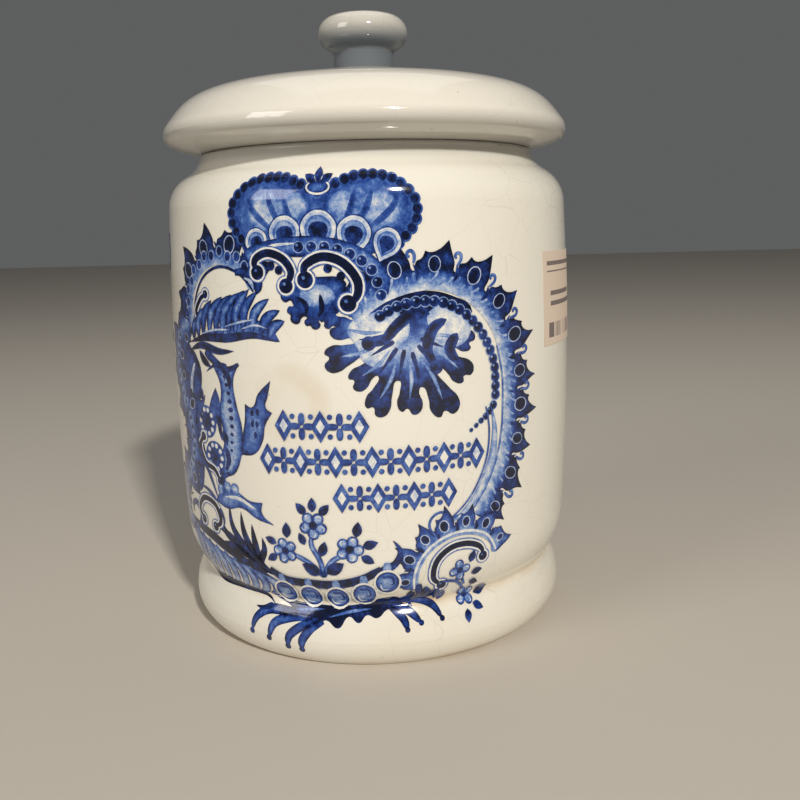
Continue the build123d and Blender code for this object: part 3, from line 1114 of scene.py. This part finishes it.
def paintFeathers():
    bars, shafts = [], []
    for i in range(10):
        u = -96 + i * 5.4
        top, middle, low = 46 - i * 1.25, 39 - i * 0.9, 30 - i * 0.35
        bars.append([(u, top), (u + 5.5, middle), (u + 4.5, low), (u + 0.5, 25.5)])
        shafts.append([(u + 2.5, top), (u + 7.9, middle + 1), (u + 6.5, low + 3)])
    strokes(bars, 4.6, (0.85, 0.3), "leaf", 0.7)
    strokes(shafts, 1.5, (0.6, 0.5), "tail")
    over = [(-98, 48), (-86, 46), (-74, 44.5), (-62, 41), (-50, 37), (-41, 33)]
    strokes([over], 4.2, (0.9, 1.05), knots=13)
    under = [(-96, 26.5), (-80, 24.5), (-64, 25), (-50, 24.5), (-44, 22)]
    strokes([under], 2.6, (0.9, 1.0), knots=13)
    barbs = []
    for u, z, bow in ((-66, 58, 5), (-60, 60, 5), (-54, 58, 4), (-49, 54, 3), (-44.5, 49.5, 2)):
        barbs.append([(u, z), (u + bow * 0.3, (z + 38) / 2 + 1), (-46, 40 - bow * 0.4), (-40, 35)])
    strokes(barbs, 3.3, (0.95, 0.9), "leaf", 0.8, 13)
    strokes([
        [(-70, 50), (-62, 47.5), (-52, 42), (-42, 36)], [(-66, 44), (-57, 43), (-48, 39)],
        [(-60, 37.5), (-52, 38), (-44, 35.5)],
    ], 3.3, (0.95, 0.95), "leaf", 0.8, 11)


def paintFootLeaves():
    # a dark root spreading over the foot
    bank = [
        (-43, 25.5, sharp), (-34, 24), (-24, 23.8), (-15, 23.8), (-6, 25), (2, 27.5), (8, 27),
        (9, 23.5), (3, 22.5), (-1, 20), (-5, 21), (-8, 18.5), (-12, 20.5), (-16, 16.5), (-21, 19),
        (-25, 17), (-29, 20.5), (-36, 22),
    ]
    fills([bank], (0.9, 1.05), 0.8)
    left = [
        [(-26, 21), (-36, 20.5), (-46, 20), (-52, 16), (-54, 10.5)],
        [(-27, 19.5), (-36, 18.5), (-43, 15.5), (-45.5, 9.5)],
        [(-24, 19), (-31, 16), (-36, 12), (-37, 7.5)],
        [(-22, 18.5), (-27, 15.5), (-30.5, 11), (-31, 7)],
    ]
    strokes(left, 3.5, (0.95, 0.62), "comma", 0.8, 13)
    dots([route[-1] for route in left], 1.25, (0.95, 0.8))
    strokes([
        [(-26, 23), (-34, 23), (-44, 24.5)], [(-45, 21.5), (-49, 20), (-53, 20)],
    ], 2.6, (0.9, 0.9), "tail", 0.8)
    right = [
        [(4, 25.5), (14, 25.5), (21, 23), (24.5, 18)], [(3, 24.5), (11, 22), (16, 17.5)],
        [(4, 23.5), (9, 19.5), (10.5, 15.5)],
    ]
    strokes(right, 3.0, (0.95, 0.7), "comma", 0.7, 13)
    dots([route[-1] for route in right], 1.05, (0.95, 0.8))
    strokes([[(8, 27), (16, 27.4), (23, 26.5)]], 1.8, (0.9, 0.9), "leaf", 0.7)
    strokes([[(-20, 20), (-12, 22), (-3, 23)], [(-34, 21.5), (-28, 22), (-22, 22.5)]], 1.0, (0.6, 0.5))


def paintSideSprig():
    strokes([
        [(24, 33), (30, 32), (34, 28)], [(28, 38), (31, 35), (34, 30)],
    ], 1.2, (0.7, 0.5), "line", knots=7)
    flower(31, 36.5, 0.72, 4, 10)
    flower(35.5, 24.5, 0.72, 4, 40)
    leaves([
        (35, 39, -20, 5), (36, 34.5, -80, 5), (36, 31, -110, 4.5), (40, 24, -70, 7),
        (38.5, 21, -120, 5), (35.5, 19.5, 180, 5), (26, 28.5, 150, 5), (23, 30, 170, 5),
    ])


def paintBands():
    # three rows of plain ornament: lozenges and four-petalled crosses, with seeds between
    diamond = [(0, 0.5, sharp), (0.3, 0, sharp), (0, -0.5, sharp), (-0.3, 0, sharp)]
    heart = placed(diamond, (0, 0), 0, 0.45)
    petal = [(0, 0.05), (0.13, 0.3), (0, 0.52), (-0.13, 0.3)]
    rows = [(-32, -5, 92.5, 11.5, 5), (-39, 37, 80, 11.5, 13), (-12, 26, 67, 11, 7)]
    for start, end, z, size, count in rows:
        lozenges, hearts, crosses, seeds = [], [], [], []
        step = (end - start) / (count - 1)
        for i in range(count):
            u = start + step * i
            if i % 2:
                crosses += [placed(petal, (u, z), turn, size * 0.8) for turn in (0, 90, 180, 270)]
            else:
                lozenges.append(placed(diamond, (u, z), 0, size))
                hearts.append(placed(heart, (u, z), 0, size))
            if i < count - 1:
                seeds += [(u + step / 2, z + size * 0.3), (u + step / 2, z - size * 0.3)]
        fills(lozenges, (0.72, 0.6), 0.6)
        fills(crosses, (0.72, 0.6), 0.6)
        fills(hearts, (0.05, 0.02), 0.6)
        dots(seeds, 0.95, (0.66, 0.65))


motifs = {  # in the order they are painted, each over the ones before it
    "feathers": paintFeathers,
    "foot_leaves": paintFootLeaves,
    "left_column": paintColumn,
    "left_arch": paintLeftArch,
    "plume": paintPlume,
    "flame_leaves": paintFlameLeaves,
    "pearls": paintPearls,
    "branch": paintBranch,
    "acanthus": paintAcanthus,
    "great_scroll": paintGreatScroll,
    "crest": paintCrest,
    "c_scrolls": paintScrolls,
    "thin_scroll": paintThinScroll,
    "shell": paintShell,
    "flowers": paintFlowers,
    "garland": paintGarland,
    "side_sprig": paintSideSprig,
    "bands": paintBands,
}
for name, paint in motifs.items():
    paint()
    finishPainting("painted_" + name, cobalt)
bpy.data.objects.remove(nib)
